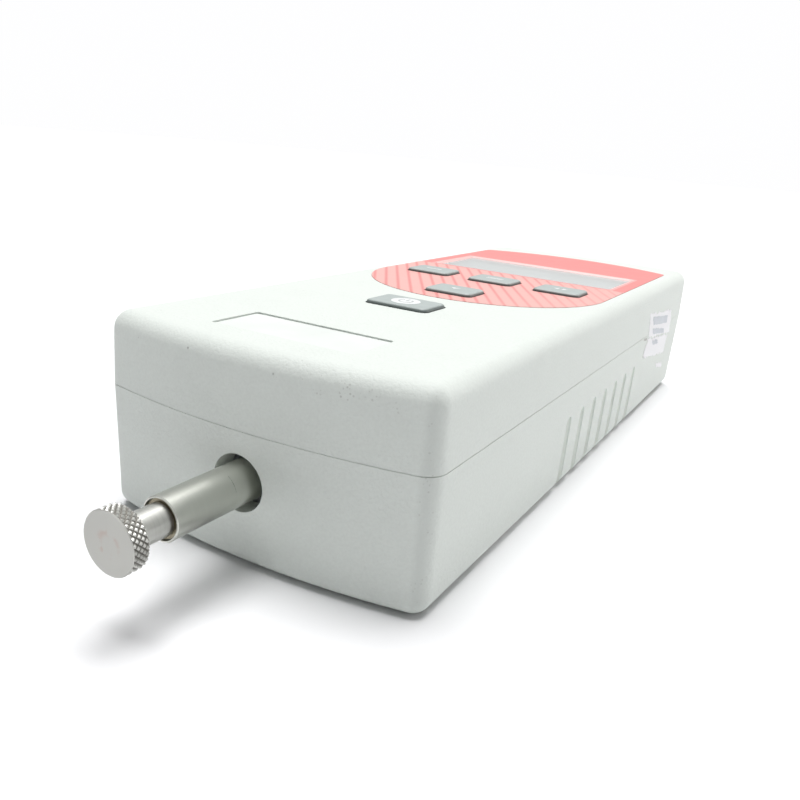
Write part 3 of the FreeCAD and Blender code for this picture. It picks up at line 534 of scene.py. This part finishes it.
# %% [markdown]
# ## Circuit boards
# A board is green solder mask over copper. Its tracks show as slightly lighter, raised lines.
# Parallel lines that come and go with a noise suggest them well enough for a part that is only
# seen when the case is taken apart.


# %% The boards' solder mask
track_pitch = 1.27 * mm


def board_finish():
    colour = (0.02, 0.17, 0.075)
    finish = Finish("circuit_board", colour, 0.35)
    tracks = abs((finish.axis("X") % track_pitch) / track_pitch - 0.5)
    wandering = finish.step(finish.noise(5 * mm, 1.0), 0.48, 0.52)
    line = finish.band(tracks, 0.15, 0.32, 0.02) * wandering
    finish.set("Base Color", finish.mix(line * 0.6, colour, (0.05, 0.27, 0.12)))
    finish.set("Roughness", 0.30 + finish.noise(1 * mm, 2.0) * 0.12)
    finish.bump(line, 0.03 * mm, 0.6)
    return finish


finishes["circuit_board"] = board_finish()
print("finishes in all", len(finishes))

# %% [markdown]
# ## Give every solid its finish
# The imported record says which material slot each node takes. The solids keep their meshes, and
# only the material in their slots changes. The display's frame shares its slot with other black
# parts, but it is painted pale grey instead: partly the pale metal of a bare display bezel, partly
# a painted reflection of the pale room on the lens over it.

# %% Assign the finishes
slot_of = {entry["node"]: entry["material_slot"] for entry in frame["record"]["subparts"]}
# the display's frame is painted pale grey, partly a painted reflection on the lens
own_finish = {"lcd_frame": "pale_bezel_painted_reflection"}
for node_name, slot_name in slot_of.items():
    solid = nodes[node_name]
    chosen = finishes[own_finish.get(node_name, slot_name)].material
    if not solid.material_slots:
        solid.data.materials.append(chosen)
    for place in solid.material_slots:
        place.material = chosen
print("dressed", len(slot_of), "nodes")

# %% [markdown]
# ## Smooth skins
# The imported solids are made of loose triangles, so their rounded edges would show facets. For the
# solids that the eye rests on, a copy with its points joined can shade smoothly, with only the real
# edges kept sharp. The copy then stands for the node.


# %% Put a mesh in the scene, and shade a copy of a solid smoothly
def place_piece(name, mesh, body):
    """Makes a mesh a piece of the gauge: it rides on body."""
    piece = bpy.data.objects.new(name, mesh)
    bpy.context.scene.collection.objects.link(piece)
    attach(piece, body)
    return piece


def as_mesh(name, form, finish):
    """Turns bmesh work into a mesh with one finish."""
    mesh = bpy.data.meshes.new(name)
    form.to_mesh(mesh)
    form.free()
    mesh.materials.append(finish.material)
    return mesh


def thicken(piece, thickness, offset):
    thick = piece.modifiers.new("thickness", "SOLIDIFY")
    thick.thickness = thickness
    thick.offset = offset


def smooth_copy(node, body, sharp=32):
    mesh = nodes[node].data.copy()
    form = bmesh.new()
    form.from_mesh(mesh)
    bmesh.ops.remove_doubles(form, verts=form.verts, dist=0.001 * mm)
    form.to_mesh(mesh)
    form.free()
    for name in [a.name for a in mesh.attributes if a.name == "custom_normal"]:
        mesh.attributes.remove(mesh.attributes[name])
    mesh.shade_smooth()
    mesh.set_sharp_from_angle(angle=math.radians(sharp))
    piece = place_piece(node + "_skin", mesh, body)
    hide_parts(node)


key_bodies = {key: key + "_body" for key in slot_of if slot_of[key] == "key_plastic"}
skinned = {node: "case" for node in ("front_case", "rear_case", "keypad_overlay")}
skinned |= {"load_shaft": "shaft", "adapter_washer": "washer"} | key_bodies
for node_name, body_name in skinned.items():
    smooth_copy(node_name, body_name)
print("smooth skins", len(skinned))

# %% [markdown]
# ## The bottom of the joint between the shells
# The shells meet with a tongue in a groove, so the fine gap round the case is shallow and looks
# grey, not black. The rim of the lower shell gives the gap's own outline: its outermost points are
# found with a convex hull, drawn in by a tenth of a millimetre and raised into a band that Solidify
# thickens.


# %% A band just inside the gap
parting = 26.5 * mm
band_height = 0.2 * mm
inset = 0.09 * mm


def joint_band():
    vertices = nodes["rear_case"].data.vertices
    flat = [(v.co.x, v.co.y) for v in vertices if abs(v.co.z - parting) < 0.01 * mm]
    outline = [flat[n] for n in convex_hull_2d(flat)]
    share_x = 1 - inset / max(x for x, _ in outline)
    share_y = 1 - inset / max(y for _, y in outline)
    form = bmesh.new()
    rings = []
    for z in (parting, parting + band_height):
        rings.append([form.verts.new((x * share_x, y * share_y, z)) for x, y in outline])
    for n in range(len(outline)):
        m = (n + 1) % len(outline)
        form.faces.new((rings[0][n], rings[0][m], rings[1][m], rings[1][n]))
    bmesh.ops.recalc_face_normals(form, faces=form.faces)
    mesh = as_mesh("joint_band", form, finishes["case_plastic"])
    mesh.shade_smooth()
    thicken(place_piece("joint_band", mesh, "case"), 0.3 * mm, -1)
    return len(outline)


print("joint band points", joint_band())

# %% [markdown]
# ## The knurl
# A diamond knurl is two sets of V grooves that wind round the knob in opposite directions and
# leave small pyramids between them. That is a shape with a rule, so Geometry Nodes make it: a flat
# grid is rolled into a sleeve, and each point's radius comes from how near it lies to a groove of
# each set. Next to the flat face the grooves run out, so that the rim stays round. The sleeve's
# first and last rings meet inside the knob, which closes it.


# %% Build the knurl's node tree
run_out_start, run_out_end = 0.10 * mm, 0.42 * mm


def knurl_tree():
    tree = bpy.data.node_groups.new("knurl", "GeometryNodeTree")
    kinds = {name: "Int" for name in ("Diamonds around", "Steps around", "Steps along")}
    for name in ("Start", "Length", "Radius", "Inner radius", "Depth", "Groove pitch"):
        kinds[name] = "Float"
    kinds |= {"Chamfer": "Float", "Axis height": "Float", "Finish": "Material"}
    for name, kind in kinds.items():
        tree.interface.new_socket(name=name, in_out="INPUT", socket_type="NodeSocket" + kind)
    tree.interface.new_socket(name="Knurl", in_out="OUTPUT", socket_type="NodeSocketGeometry")
    wiring = Wiring(tree)
    source = tree.nodes.new("NodeGroupInput")
    given = {name: Value(wiring, source.outputs[name]) for name in kinds}
    steps = given["Steps along"]
    counts = {"Vertices X": given["Steps around"] + 1, "Vertices Y": steps + 4}
    sheet = wiring.add("GeometryNodeMeshGrid", None, {"Size X": 1.0, "Size Y": 1.0} | counts)
    flat = wiring.add("GeometryNodeInputPosition")
    round_share = wiring.add("ShaderNodeSeparateXYZ", None, {0: flat}, 0) + 0.5
    ring = (wiring.add("ShaderNodeSeparateXYZ", None, {0: flat}, 1) + 0.5) * (steps + 3)
    share = wiring.add("ShaderNodeClamp", None, {"Value": (ring - 1) / steps})
    share = share * (ring < steps + 2.5)
    along = share * given["Length"]
    edge_distance = along.maths("MINIMUM", along, given["Length"] - along)
    turns = round_share * given["Diamonds around"]
    first_set = abs(((turns + along / given["Groove pitch"]) % 1.0) * 2 - 1)
    second_set = abs(((turns - along / given["Groove pitch"]) % 1.0) * 2 - 1)
    height = first_set.maths("MINIMUM", first_set, second_set) * 1.3
    height = height.maths("MINIMUM", height, 1.0)
    ends = {"Value": along, "From Min": run_out_start, "From Max": run_out_end}
    run_out = wiring.add("ShaderNodeMapRange", {"interpolation_type": "SMOOTHSTEP"}, ends)
    cut = given["Radius"] - given["Depth"] * (1 - height) * run_out
    skin = cut.maths("MINIMUM", cut, given["Radius"] - given["Chamfer"] + edge_distance)
    outside = (ring > 0.5) * (ring < steps + 1.5)
    radius = given["Inner radius"] + (skin - given["Inner radius"]) * outside
    angle = round_share * (2 * math.pi)
    x = angle.maths("SINE", angle) * radius
    z = angle.maths("COSINE", angle) * radius + given["Axis height"]
    spot = wiring.add("ShaderNodeCombineXYZ", None, {0: x, 1: given["Start"] + along, 2: z})
    rolled = wiring.add("GeometryNodeSetPosition", None, {"Geometry": sheet, "Position": spot})
    merging = {"Geometry": rolled, "Distance": 0.001 * mm}
    closed = wiring.add("GeometryNodeMergeByDistance", None, merging)
    real = wiring.add("GeometryNodeRealizeInstances", None, {"Geometry": closed})
    painting = {"Geometry": real, "Material": given["Finish"]}
    painted = wiring.add("GeometryNodeSetMaterial", None, painting)
    sink = tree.nodes.new("NodeGroupOutput")
    wiring.feed(sink.inputs[0], painted)
    return tree


knurl = knurl_tree()
print("knurl nodes", len(knurl.nodes))


# %% Run the tree and keep its result as a plain mesh
def grow(tree, values):
    """The mesh that a Geometry Nodes tree makes from named values."""
    seed = bpy.data.meshes.new("seed")
    holder = bpy.data.objects.new("holder", seed)
    bpy.context.scene.collection.objects.link(holder)
    modifier = holder.modifiers.new("grow", "NODES")
    modifier.node_group = tree
    for item in tree.interface.items_tree:
        if item.in_out == "INPUT" and item.name in values:
            modifier[item.identifier] = values[item.name]
    graph = bpy.context.evaluated_depsgraph_get()
    mesh = bpy.data.meshes.new_from_object(holder.evaluated_get(graph))
    bpy.data.objects.remove(holder)
    return mesh


diamonds_around = 30
steps_per_diamond = 8
steps_along = 22
knurl_bore = knob_radius - 1.2 * mm
knurl_values = {
    "Diamonds around": diamonds_around,
    "Steps around": diamonds_around * steps_per_diamond,
    "Steps along": steps_along,
    "Start": face_y,
    "Length": knob_length,
    "Radius": knob_radius - 0.005 * mm,
    "Inner radius": knurl_bore,
    "Depth": 0.36 * mm,
    "Groove pitch": knob_length * steps_per_diamond / steps_along,
    "Chamfer": 0.14 * mm,
    "Axis height": axis_height,
    "Finish": finishes["adapter_steel"].material,
}
sleeve = grow(knurl, knurl_values)
print("knurl faces", len(sleeve.polygons), "points", len(sleeve.vertices))

# %% [markdown]
# ## The turned body of the adapter
# The rest of the adapter is round, so its outline is turned about the axis: the face, the core
# under the knurl, the back of the knob, the neck and the threaded stud. The thread is drawn as
# rings, one to a turn, because its lead is too fine to see.


# %% Turn an outline about the shaft's axis
def turned(outline, steps=96):
    """A closed round solid from (y, radius) pairs, the first and the last on the axis."""
    form = bmesh.new()
    rings = []
    for y, radius in outline:
        if radius == 0:
            rings.append([form.verts.new((0, y, axis_height))])
            continue
        ring = []
        for n in range(steps):
            angle = 2 * math.pi * n / steps
            x, z = radius * math.sin(angle), radius * math.cos(angle)
            ring.append(form.verts.new((x, y, axis_height + z)))
        rings.append(ring)
    for before, after in zip(rings, rings[1:]):
        for n in range(steps):
            m = (n + 1) % steps
            corners = [before[n % len(before)], before[m % len(before)]]
            corners += [after[m % len(after)], after[n % len(after)]]
            form.faces.new(list(dict.fromkeys(corners)))
    bmesh.ops.recalc_face_normals(form, faces=form.faces)
    return form


neck_radius = 2.92 * mm
neck_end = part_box("adapter_washer")[0].y
chamfer = 0.35 * mm
thread_radius = 2.35 * mm
thread_depth = 0.25 * mm
thread_pitch = 0.79375 * mm
thread_turns = 8
outline = [(face_y, 0), (face_y, knurl_bore), (knob_back, knurl_bore)]
outline += [(knob_back, neck_radius + 0.1 * mm), (knob_back + 0.1 * mm, neck_radius)]
outline += [(neck_end - chamfer, neck_radius), (neck_end, neck_radius - chamfer)]
outline.append((neck_end, thread_radius))
for n in range(thread_turns):
    start = neck_end + n * thread_pitch
    outline.append((start + thread_pitch * 0.35, thread_radius - thread_depth))
    outline.append((start + thread_pitch * 0.85, thread_radius - 0.01 * mm))
outline += [(adapter_high.y, thread_radius - 0.3 * mm), (adapter_high.y, 0)]
adapter_form = turned(outline)
adapter_form.from_mesh(sleeve)
adapter_mesh = as_mesh("knurled_adapter", adapter_form, finishes["adapter_steel"])
adapter_mesh.shade_smooth()
adapter_mesh.set_sharp_from_angle(angle=math.radians(24))
adapter = place_piece("knurled_adapter", adapter_mesh, "adapter")
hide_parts("flat_adapter")
print("adapter faces", len(adapter_mesh.polygons))

# %% [markdown]
# ## Printed marks
# The marks on the keys are ink a few hundredths of a millimetre thick. Each is a flat outline given
# that thickness, and it rides on its key, so it goes down when the key is pressed. The marks are
# generic: bars, arrows, and the usual ring and bar for power.


# %% Make ink from outlines
ink_sunk = 0.01 * mm
ink_height = 0.035 * mm


def ink(name, node, outlines, finish, lift=0.0):
    """Thin plates on top of a key from outlines in millimetres about the key's centre."""
    low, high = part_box(node)
    centre_x = (low.x + high.x) / 2
    centre_y = (low.y + high.y) / 2
    z = high.z - ink_sunk + lift
    form = bmesh.new()
    for points in outlines:
        base = [form.verts.new((centre_x + x * mm, centre_y + y * mm, z)) for x, y in points]
        face = form.faces.new(base)
        face.normal_update()
        raised = bmesh.ops.extrude_face_region(form, geom=[face])
        for vertex in [v for v in raised["geom"] if isinstance(v, bmesh.types.BMVert)]:
            vertex.co.z += ink_height
    bmesh.ops.recalc_face_normals(form, faces=form.faces)
    place_piece(name, as_mesh(name, form, finish), key_bodies[node])


def circle(radius, first=0, last=360, steps=40):
    """Points on a circle from one angle in degrees to another, without the last."""
    angles = [math.radians(first + (last - first) * n / steps) for n in range(steps)]
    return [(radius * math.cos(a), radius * math.sin(a)) for a in angles]


def arc(radius, width, first, last, steps=30):
    """A round band between two angles in degrees."""
    past = last + (last - first) / steps
    outer = circle(radius + width / 2, first, past, steps + 1)
    return outer + circle(radius - width / 2, first, past, steps + 1)[::-1]


def bar(x0, x1, y0, y1):
    return [(x0, y0), (x1, y0), (x1, y1), (x0, y1)]


white_ink = grained("white_ink", (0.86, 0.88, 0.88), 0.45, 0.25, 0.005)
grey_ink = grained("grey_ink", (0.52, 0.55, 0.55), 0.5, 0.25, 0.005)
arrow_left = [(-0.5, -1.0), (-0.5, 1.0), (-2.0, 0.0)]
arrow_right = [(0.5, 1.0), (0.5, -1.0), (2.0, 0.0)]
arrow_down = [(-1.3, 0.8), (0.0, -0.9), (1.3, 0.8)]
two_bars = [bar(-2.4, 2.4, 0.35, 0.9), bar(-2.4, 2.4, -0.9, -0.35)]
power_sign = [arc(1.6, 0.45, 125, 415), bar(-0.22, 0.22, 0.2, 2.2)]
ink("mark_key_left", "key_left", [bar(-2.4, 2.4, -0.35, 0.35)], white_ink)
ink("mark_key_middle", "key_middle", two_bars, white_ink)
ink("mark_key_right", "key_right", [arrow_left, arrow_right], white_ink)
ink("mark_key_lower", "key_lower", [arrow_down], white_ink)
ink("power_disc", "key_power", [circle(3.4)], white_ink)
ink("power_mark", "key_power", power_sign, grey_ink, 0.02 * mm)
print("printed marks 6")

# %% [markdown]
# ## The display's printed frame
# On the real overlay a pale line runs round the display and hides the joint between the lens and
# the sheet. It is a thin ring with rounded corners that slopes down to the lens: three outlines
# with the same number of points are joined by faces, and Solidify gives the thickness.


# %% A sloping ring round the display
quarters = ((1, 1, 0), (-1, 1, 90), (-1, -1, 180), (1, -1, 270))


def rounded(half_x, half_y, radius, steps=8):
    """A rounded rectangle about the origin, as points in metres."""
    points = []
    for sign_x, sign_y, start in quarters:
        for n in range(steps + 1):
            angle = math.radians(start + 90 * n / steps)
            x = sign_x * (half_x - radius) + radius * math.cos(angle)
            points.append((x, sign_y * (half_y - radius) + radius * math.sin(angle)))
    return points


def display_frame():
    half_x = window_high.x - lens_edge
    half_y = (window_high.y - window_low.y) / 2 - lens_edge
    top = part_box("keypad_overlay")[1].z + 0.03 * mm
    lens_top = window_high.z + 0.02 * mm
    form = bmesh.new()
    rings = []
    for grow_by, z, radius in ((-0.8, lens_top, 0.6), (-0.03, top, 1.0), (0.5, top, 1.5)):
        points = rounded(half_x + grow_by * mm, half_y + grow_by * mm, radius * mm)
        rings.append([form.verts.new((x, y + window_middle, z)) for x, y in points])
    for inner, outer in zip(rings, rings[1:]):
        for n in range(len(inner)):
            m = (n + 1) % len(inner)
            form.faces.new((inner[n], outer[n], outer[m], inner[m]))
    frame_print = grained("frame_print", (0.93, 0.60, 0.575), 0.4, 0.25, 0.005)
    mesh = as_mesh("display_frame", form, frame_print)
    thicken(place_piece("display_frame", mesh, "case"), 0.04 * mm, 0)


display_frame()
print("display frame 1")

# %% [markdown]
# ## Torn paper
# A torn white label in two scraps, and a third smaller one, still stick to the right-hand side near
# the connector end. Each is a small sheet that follows the slightly sloping side, with a ragged
# edge and a thickness of six hundredths of a millimetre. Their print is left as plain grey patches.
# A small grey dot sits on the case beside the label.


# %% The side's slope, and a sheet that lies on it
case_top = 41.4 * mm
lean_below, lean_above = 0.6 * mm, 0.3 * mm
paper_gap, paper_puff = 0.03, 0.03


def side_at(z):
    """The side's x at a height: it leans in below the parting line, and less above it."""
    if z < parting:
        return side_x - lean_below * (1 - z / parting)
    return side_x - lean_above * (z - parting) / (case_top - parting)


def paper(name, corners, seed, finish, ragged=0.5, lift=0.0, steps=(28, 14)):
    """A ragged sheet between (y, z) corners in mm: low near, low far, high far, high near."""
    low_near, low_far, high_far, high_near = [Vector(corner) for corner in corners]
    rng = random.Random(seed)
    columns, rows = steps
    counts = (columns, columns, rows, rows)
    edges = [[rng.uniform(-ragged, ragged) for _ in range(count + 1)] for count in counts]
    low, high, near, far = edges
    form = bmesh.new()
    grid = []
    for r in range(rows + 1):
        v = r / rows
        line = []
        for c in range(columns + 1):
            u = c / columns
            y, z = low_near.lerp(low_far, u).lerp(high_near.lerp(high_far, u), v)
            y += near[r] * (1 - u) ** 4 + far[r] * u**4
            z += low[c] * (1 - v) ** 4 + high[c] * v**4
            puff = abs(paper_puff * math.sin(7 * u + seed) * math.sin(5 * v) ** 2)
            x = side_at(z * mm) + (paper_gap + puff) * mm + lift
            line.append(form.verts.new((x, y * mm, z * mm)))
        grid.append(line)
    for r in range(rows):
        for c in range(columns):
            form.faces.new((grid[r][c], grid[r][c + 1], grid[r + 1][c + 1], grid[r + 1][c]))
    mesh = as_mesh(name, form, finish)
    mesh.shade_smooth()
    thicken(place_piece(name, mesh, "case"), 0.06 * mm, 0)


white = grained("label_paper", (0.95, 0.95, 0.97), 0.75, 0.35, 0.03, cloud=0.02)
grey = grained("dot_grey", (0.52, 0.52, 0.49), 0.7, 0.35, 0.02)
faded = grained("faded_print", (0.66, 0.69, 0.73), 0.7, 0.35, 0.02, cloud=0.12)
upper = [(46.0, 25.7), (79.6, 22.0), (76.2, 30.3), (43.1, 33.3)]
lower = [(42.8, 19.7), (76.5, 15.4), (77.6, 21.6), (45.8, 25.2)]
scrap = [(69.4, 11.2), (79.6, 9.6), (77.8, 11.3), (67.4, 13.4)]
print_bar = [(50.6, 28.9), (71.5, 26.7), (71.0, 29.2), (48.2, 31.8)]
smudge = [(51.6, 25.9), (69.5, 23.4), (68.2, 25.2), (49.9, 27.9)]
blot = [(54.6, 22.0), (62.4, 21.1), (61.3, 22.5), (53.4, 23.5)]
dot = [(40.9, 25.5), (44.4, 25.1), (43.8, 25.8), (40.6, 26.2)]
paper("paper_upper", upper, 3, white)
paper("paper_lower", lower, 8, white)
paper("paper_scrap", scrap, 11, white, 0.4, steps=(8, 8))
paper("print_bar", print_bar, 5, faded, 0.12, 0.06 * mm)
paper("print_smudge", smudge, 6, faded, 0.25, 0.06 * mm)
paper("print_blot", blot, 9, faded, 0.35, 0.06 * mm, (12, 8))
# a small grey dot on the case beside the label, not part of the print
paper("small_grey_dot", dot, 12, grey, 0.15, 0.01 * mm, (8, 6))
print("paper pieces 7")

# %% [markdown]
# ## Floor and light
# The gauge lies on white paper. The camera sees the floor and the world as nearly white, as in an
# overexposed photograph. As a light the world is dimmer: a glow from low down reaches the upright
# sides, and little comes from above. A large soft lamp overhead gives the bright top and the short
# dark shadow under the front edge, and a small one far off gives the right-hand side a little more.


# %% The floor
half_floor = 6.0
floor_z = -0.03 * mm
floor_seen = (0.985, 0.985, 1.0, 1.0)


def floor_finish():
    colour = (0.90, 0.90, 0.915)
    finish = Finish("floor_paper", colour, 0.9, Specular_IOR_Level=0.1)
    clouds = finish.mix(finish.noise(60 * mm, 3.0), darker(colour, 0.985), colour)
    finish.set("Base Color", clouds)
    finish.bump(finish.noise(1.5 * mm, 3.0), 0.05 * mm, 0.3)
    bright = finish.add("ShaderNodeBsdfDiffuse", None, {"Color": floor_seen})
    by_camera = finish.add("ShaderNodeLightPath")
    lit = Value(finish, finish.shader.outputs[0])
    both = finish.add("ShaderNodeMixShader", None, {0: by_camera, 1: lit, 2: bright})
    finish.feed(finish.tree.nodes["Material Output"].inputs["Surface"], both)
    return finish


floor_mesh = bpy.data.meshes.new("floor")
corners = [(x * half_floor, y * half_floor, floor_z) for x, y in bar(-1, 1, -1, 1)]
floor_mesh.from_pydata(corners, [], [(0, 1, 2, 3)])
floor_mesh.materials.append(floor_finish().material)
floor = bpy.data.objects.new("floor", floor_mesh)
bpy.context.scene.collection.objects.link(floor)
print("floor", 2 * half_floor, "m wide")

# %% The world: white to the eye, dimmer as a light
world = bpy.data.worlds.new("world")
bpy.context.scene.world = world
world.use_nodes = True
sky = Wiring(world.node_tree)
path = world.node_tree.nodes.new("ShaderNodeLightPath")
rays = ("Is Camera Ray", "Is Glossy Ray", "Is Transmission Ray")
looked_at, glossy, through = [Value(sky, path.outputs[ray]) for ray in rays]
mirrored = looked_at.maths("MAXIMUM", glossy, through)
direction = sky.add("ShaderNodeTexCoord")
height = sky.add("ShaderNodeSeparateXYZ", None, {0: direction}, 2)
upwards = height.maths("MAXIMUM", height, 0.0)
ambient = 0.02 + (1 - upwards) ** 5 * 0.33 + upwards * 0.08
mirror_light = 0.37 + upwards * 0.72
as_light = ambient * (1 - mirrored) + mirror_light * mirrored
background = world.node_tree.nodes["Background"]
sky.feed(background.inputs["Color"], (0.994, 0.994, 1.0, 1.0))
sky.feed(background.inputs["Strength"], as_light * (1 - looked_at) + looked_at)
print("world nodes", len(world.node_tree.nodes))


# %% The lamp above, and a soft one at the far right
def place_lamp(name, kind, energy, place, towards):
    lamp = bpy.data.lights.new(name, kind)
    lamp.energy = energy
    holder = bpy.data.objects.new(name, lamp)
    turn = towards.to_track_quat("-Z", "Y").to_matrix().to_4x4()
    holder.matrix_world = Matrix.Translation(place) @ turn
    bpy.context.scene.collection.objects.link(holder)
    return lamp


sun = place_lamp("overhead", "SUN", 3.5, Vector((0, 0, 0)), Vector((0.06, -0.13, -1.0)))
sun.angle = math.radians(44)
panel_place = Vector((0.45, 0.42, 0.10))
side_middle = Vector((0.037, 0.03, 0.02))
panel = place_lamp("panel", "AREA", 0.85, panel_place, side_middle - panel_place)
panel.shape = "SQUARE"
panel.size = 0.3
panel.color = (1.0, 0.985, 0.96)
print("lamp strengths", sun.energy, panel.energy)

# %% [markdown]
# ## Finish
# The view transform is the plain one, so colours come out as written.

# %% The view transform
bpy.context.scene.view_settings.view_transform = "Standard"
